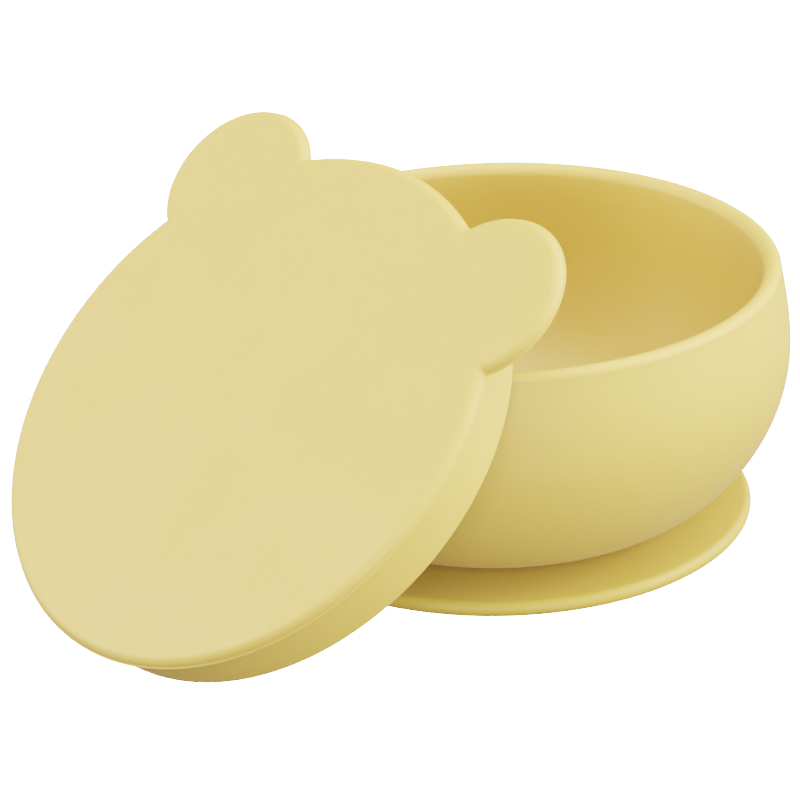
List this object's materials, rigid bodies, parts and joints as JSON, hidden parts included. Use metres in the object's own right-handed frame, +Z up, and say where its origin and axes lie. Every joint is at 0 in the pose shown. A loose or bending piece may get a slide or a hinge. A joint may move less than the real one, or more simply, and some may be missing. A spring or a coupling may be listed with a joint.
{
  "type": "suction bowl with lid",
  "caption": "Round silicone baby bowl on a flat suction disc, with an eared drop-in lid leaning against its rim.",
  "frame": {"origin": "on the table (z = 0), under the middle of the bounding box of the bowl and the leaning lid; the bowl's own axis is the vertical line x = 25.24 mm, y = 0", "axes": "+Z up; +X from the leaning lid towards the bowl, along the slope of the lid; +Y across, to the left when looking along +X"},
  "size_m": [0.1704, 0.12, 0.0857],
  "materials": {
    "base_silicone": "matte food-grade silicone, pale yellow",
    "bowl_silicone": "matte food-grade silicone, pale yellow",
    "lid_silicone": "matte food-grade silicone, pale yellow"
  },
  "bodies": {
    "suction_base": {"suction_base": "base_silicone"},
    "bowl": {"bowl": "bowl_silicone"},
    "lid": {"lid": "lid_silicone"}
  },
  "joints": [
    {"name": "suction_press", "type": "slide", "parent": "suction_base", "child": "bowl", "axis": [0, 0, -1], "range_m": [0, 0.0011], "stiffness_N_per_m": 6000, "springref_m": -0.0006, "deforming": ["suction_base"]},
    {"name": "lid_lift", "type": "slide", "parent": "suction_base", "child": "lid", "axis": [-0.6782, 0, 0.7349], "range_m": [0, 0.1]}
  ]
}
